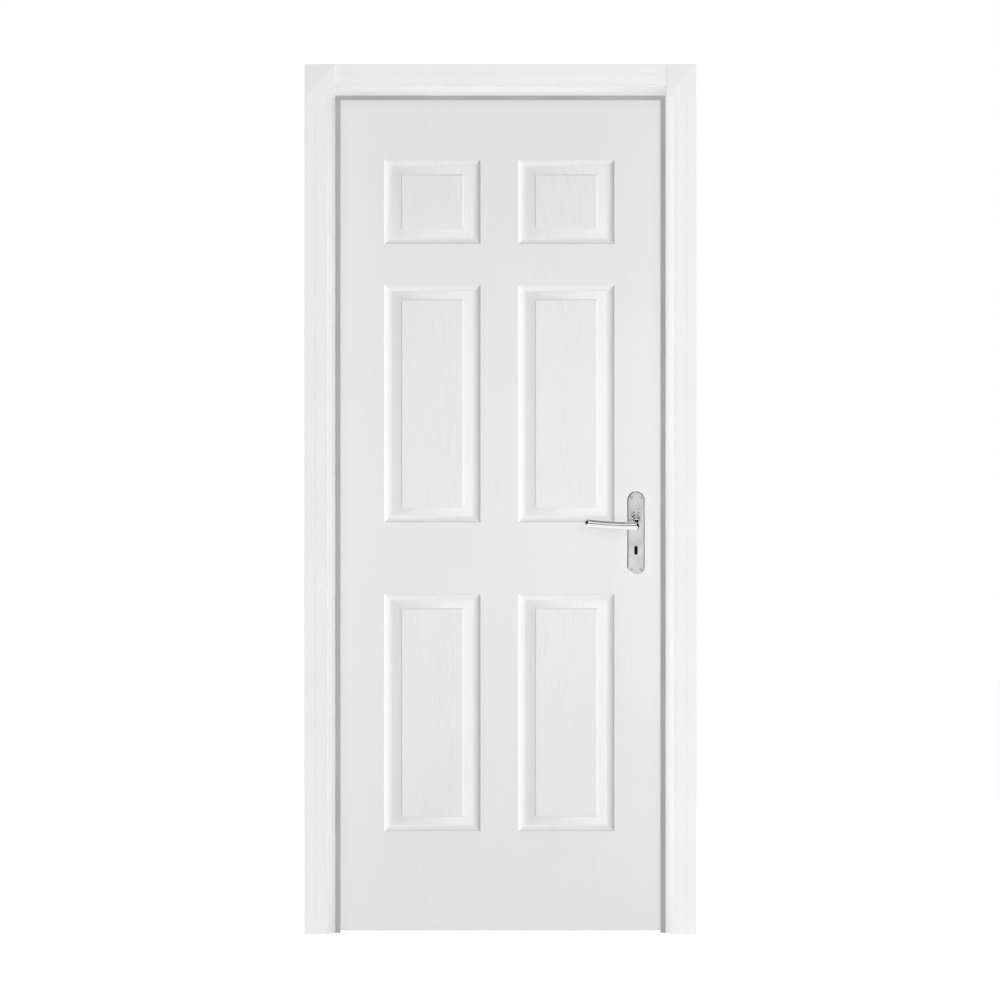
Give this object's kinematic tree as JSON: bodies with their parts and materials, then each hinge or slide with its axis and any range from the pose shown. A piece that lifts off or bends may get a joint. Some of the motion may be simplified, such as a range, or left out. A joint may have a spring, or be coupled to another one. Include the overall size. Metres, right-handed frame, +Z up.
{
  "type": "panelled door",
  "caption": "White moulded panelled door hung in a splayed frame with grooved casings and corner blocks, with a lever lock set, grey seals and butt hinges",
  "frame": {"origin": "on the floor, under the middle of the part's box", "axes": "X across the opening towards the lock, Y from the push side to the pull side, Z up"},
  "size_m": [0.956, 0.1794, 2.123],
  "materials": {
    "frame_paint": "satin white paint",
    "leaf_paint": "satin white paint over pressed wood grain",
    "edge_paint": "white paint on timber",
    "core_board": "plain board",
    "seal_rubber": "matt grey",
    "polished_chrome": "mirror polished",
    "satin_metal": "satin",
    "hinge_steel": "satin",
    "lock_steel": "satin",
    "zinc_steel": "zinc plated",
    "bolt_brass": "satin"
  },
  "bodies": {
    "frame": {"hinge_jamb": "frame_paint", "lock_jamb": "frame_paint", "head_jamb": "frame_paint", "front_casing_left": "frame_paint", "front_casing_right": "frame_paint", "front_casing_head": "frame_paint", "front_corner_block_left": "frame_paint", "front_corner_block_right": "frame_paint", "back_casing_left": "frame_paint", "back_casing_right": "frame_paint", "back_casing_head": "frame_paint", "back_corner_block_left": "frame_paint", "back_corner_block_right": "frame_paint", "stop_left": "frame_paint", "stop_right": "frame_paint", "stop_head": "frame_paint", "seal_left": "seal_rubber", "seal_right": "seal_rubber", "seal_head": "seal_rubber", "strike_plate": "lock_steel", "strike_box": "zinc_steel", "strike_screws": "lock_steel", "bottom_hinge_frame_leaf": "hinge_steel", "middle_hinge_frame_leaf": "hinge_steel", "top_hinge_frame_leaf": "hinge_steel", "bottom_hinge_pin": "hinge_steel", "middle_hinge_pin": "hinge_steel", "top_hinge_pin": "hinge_steel", "hinge_frame_screws": "hinge_steel"},
    "leaf": {"front_skin": "leaf_paint", "back_skin": "leaf_paint", "hinge_stile": "edge_paint", "lock_stile": "edge_paint", "top_rail": "edge_paint", "bottom_rail": "edge_paint", "lock_block": "edge_paint", "core_slab": "core_board", "bottom_hinge_door_leaf": "hinge_steel", "middle_hinge_door_leaf": "hinge_steel", "top_hinge_door_leaf": "hinge_steel", "hinge_door_screws": "hinge_steel", "lock_case": "zinc_steel", "lock_case_cover": "zinc_steel", "lock_forend": "lock_steel", "forend_screws": "lock_steel", "lock_levers": "zinc_steel", "latch_spring": "zinc_steel", "front_backplate": "satin_metal", "back_backplate": "satin_metal", "front_plate_screws": "polished_chrome", "back_plate_screws": "polished_chrome"},
    "handle": {"front_lever": "polished_chrome", "back_lever": "polished_chrome", "spindle": "zinc_steel", "follower": "zinc_steel", "lever_grub_screws": "zinc_steel"},
    "latch": {"latch_bolt": "bolt_brass"},
    "deadbolt": {"dead_bolt": "bolt_brass"}
  },
  "joints": [
    {"name": "door_swing", "type": "hinge", "parent": "frame", "child": "leaf", "pos_m": [-0.402, 0.03525, 1], "axis": [0, 0, 1], "range_deg": [0, 170]},
    {"name": "handle_turn", "type": "hinge", "parent": "leaf", "child": "handle", "pos_m": [0.332, 0.00825, 1.0215], "axis": [0, -1, 0], "range_deg": [0, 40], "stiffness_Nm_per_rad": 2, "springref_deg": -28.65},
    {"name": "latch_slide", "type": "slide", "parent": "leaf", "child": "latch", "axis": [1, 0, 0], "range_m": [-0.012, 0], "deforming": ["latch_spring"]},
    {"name": "deadbolt_throw", "type": "slide", "parent": "leaf", "child": "deadbolt", "axis": [1, 0, 0], "range_m": [0, 0.014]}
  ],
  "couplings": [
    {"joint": "latch_slide", "follows": "handle_turn", "m_per_rad": -0.01718}
  ]
}
